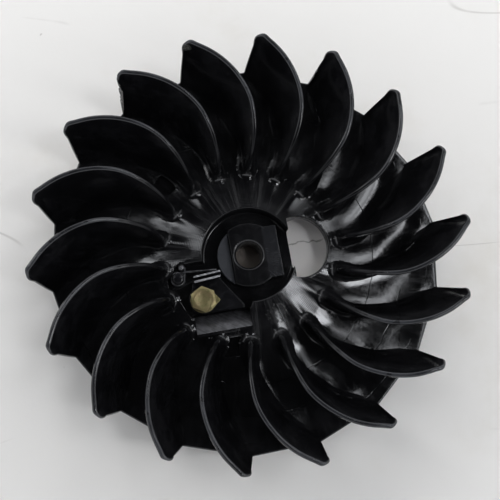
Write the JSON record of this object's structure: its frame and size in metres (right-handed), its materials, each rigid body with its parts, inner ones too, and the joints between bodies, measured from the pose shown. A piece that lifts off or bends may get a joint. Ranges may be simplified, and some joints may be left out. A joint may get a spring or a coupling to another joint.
{
  "type": "blower flywheel",
  "caption": "Black cast blower flywheel: curved blades on a dished disc, a flatted hub boss with a plain bore, and a spring-returned starter pawl.",
  "frame": {"origin": "on the wheel's axis, in the plane of the hub's back face and the back ring, which is the wheel's lowest plane", "axes": "+Z along the wheel's axis towards the blades; +X square to the two flats of the hub boss, towards the D-shaped window"},
  "size_m": [0.2012, 0.199, 0.0432],
  "materials": {
    "black_enamel": "gloss",
    "hub_enamel": "gloss",
    "dark_steel": "satin",
    "yellow_zinc": "satin",
    "spring_steel": "satin"
  },
  "bodies": {
    "wheel": {"wheel_disc": "black_enamel", "blade_01": "black_enamel", "blade_02": "black_enamel", "blade_03": "black_enamel", "blade_04": "black_enamel", "blade_05": "black_enamel", "blade_06": "black_enamel", "blade_07": "black_enamel", "blade_08": "black_enamel", "blade_09": "black_enamel", "blade_10": "black_enamel", "blade_11": "black_enamel", "blade_12": "black_enamel", "blade_13": "black_enamel", "blade_14": "black_enamel", "blade_15": "black_enamel", "blade_16": "black_enamel", "blade_17": "black_enamel", "blade_18": "black_enamel", "hub_boss": "hub_enamel", "tab_washer": "yellow_zinc", "pivot_bolt": "yellow_zinc", "spring_post": "dark_steel", "spring_peg": "spring_steel", "return_spring": "spring_steel"},
    "pawl": {"starter_pawl": "dark_steel"}
  },
  "joints": [
    {"name": "pawl_swing", "type": "hinge", "parent": "wheel", "child": "pawl", "pos_m": [-0.025, -0.0177, 0.0093], "axis": [0, 0, 1], "range_deg": [0, 12], "stiffness_Nm_per_rad": 0.02, "springref_deg": -20.05, "deforming": ["return_spring"]}
  ]
}
